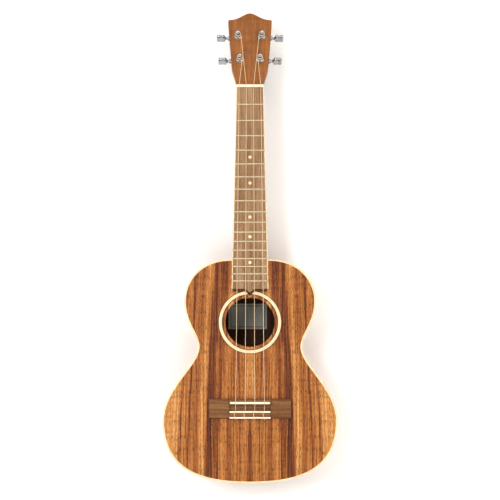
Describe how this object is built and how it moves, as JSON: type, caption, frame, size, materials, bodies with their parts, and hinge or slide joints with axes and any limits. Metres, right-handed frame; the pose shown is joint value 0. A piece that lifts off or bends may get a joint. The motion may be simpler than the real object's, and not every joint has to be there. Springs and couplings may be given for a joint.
{
  "type": "ukulele",
  "caption": "Tenor ukulele with a hollow figured-wood body, bound edges, fretted neck, tied strings and geared tuning pegs that turn the string posts.",
  "frame": {"origin": "centre of the bounding box's base, on the flat back, half way between tail and headstock tip", "axes": "+Z out of the soundboard, +Y towards the headstock, +X to the right when the soundboard faces the viewer with the head up"},
  "size_m": [0.2354, 0.6569, 0.0817],
  "materials": {
    "koa": "satin lacquer",
    "ivory": "polished",
    "black_line": "polished",
    "spruce": "bare",
    "mahogany": "satin lacquer",
    "fretboard_wood": "oiled",
    "bridge_wood": "oiled",
    "fret_wire": "polished nickel silver",
    "string": "smooth",
    "chrome": "polished",
    "gear_brass": "machined",
    "paper": "plain paper"
  },
  "bodies": {
    "root": {"soundboard": "koa", "rosette": "ivory", "rosette_lines": "black_line", "back_plate": "koa", "side_left": "koa", "side_right": "koa", "top_binding": "ivory", "back_binding": "ivory", "kerfed_linings": "spruce", "neck_block": "mahogany", "tail_block": "mahogany", "transverse_braces": "spruce", "fan_braces": "spruce", "bridge_plate": "spruce", "back_braces": "spruce", "label": "paper", "neck": "mahogany", "heel_cap": "ivory", "headstock_veneer": "mahogany", "nut": "ivory", "fretboard": "fretboard_wood", "fretboard_binding": "ivory", "frets": "fret_wire", "position_dots": "ivory", "side_dots": "black_line", "neck_dowels": "spruce", "bridge": "bridge_wood", "saddle": "ivory", "tie_strips": "ivory", "string_g": "string", "string_c": "string", "string_e": "string", "string_a": "string", "tuner_case_g": "chrome", "tuner_case_c": "chrome", "tuner_case_e": "chrome", "tuner_case_a": "chrome", "tuner_bushings": "chrome", "tuner_washers": "chrome", "tuner_screws": "chrome"},
    "knob_g": {"worm_shaft_g": "chrome", "tuner_button_g": "chrome"},
    "post_g": {"tuner_post_g": "chrome", "worm_wheel_g": "gear_brass", "winding_g": "string"},
    "knob_c": {"worm_shaft_c": "chrome", "tuner_button_c": "chrome"},
    "post_c": {"tuner_post_c": "chrome", "worm_wheel_c": "gear_brass", "winding_c": "string"},
    "knob_e": {"worm_shaft_e": "chrome", "tuner_button_e": "chrome"},
    "post_e": {"tuner_post_e": "chrome", "worm_wheel_e": "gear_brass", "winding_e": "string"},
    "knob_a": {"worm_shaft_a": "chrome", "tuner_button_a": "chrome"},
    "post_a": {"tuner_post_a": "chrome", "worm_wheel_a": "gear_brass", "winding_a": "string"}
  },
  "joints": [
    {"name": "knob_turn_g", "type": "hinge", "parent": "root", "child": "knob_g", "pos_m": [-0.0382, 0.25879, 0.04513], "axis": [-1, 0, 0], "continuous": true},
    {"name": "post_turn_g", "type": "hinge", "parent": "root", "child": "post_g", "pos_m": [-0.0142, 0.25616, 0.06358], "axis": [0, 0.2079, 0.9781], "continuous": true},
    {"name": "knob_turn_c", "type": "hinge", "parent": "root", "child": "knob_c", "pos_m": [-0.0408, 0.29478, 0.03748], "axis": [-1, 0, 0], "continuous": true},
    {"name": "post_turn_c", "type": "hinge", "parent": "root", "child": "post_c", "pos_m": [-0.0168, 0.29216, 0.05593], "axis": [0, 0.2079, 0.9781], "continuous": true},
    {"name": "knob_turn_e", "type": "hinge", "parent": "root", "child": "knob_e", "pos_m": [0.0408, 0.29478, 0.03748], "axis": [1, 0, 0], "continuous": true},
    {"name": "post_turn_e", "type": "hinge", "parent": "root", "child": "post_e", "pos_m": [0.0168, 0.29216, 0.05593], "axis": [0, 0.2079, 0.9781], "continuous": true},
    {"name": "knob_turn_a", "type": "hinge", "parent": "root", "child": "knob_a", "pos_m": [0.0382, 0.25879, 0.04513], "axis": [1, 0, 0], "continuous": true},
    {"name": "post_turn_a", "type": "hinge", "parent": "root", "child": "post_a", "pos_m": [0.0142, 0.25616, 0.06358], "axis": [0, 0.2079, 0.9781], "continuous": true}
  ],
  "couplings": [
    {"joint": "post_turn_g", "follows": "knob_turn_g", "ratio": 0.071429},
    {"joint": "post_turn_c", "follows": "knob_turn_c", "ratio": 0.071429},
    {"joint": "post_turn_e", "follows": "knob_turn_e", "ratio": 0.071429},
    {"joint": "post_turn_a", "follows": "knob_turn_a", "ratio": 0.071429}
  ]
}
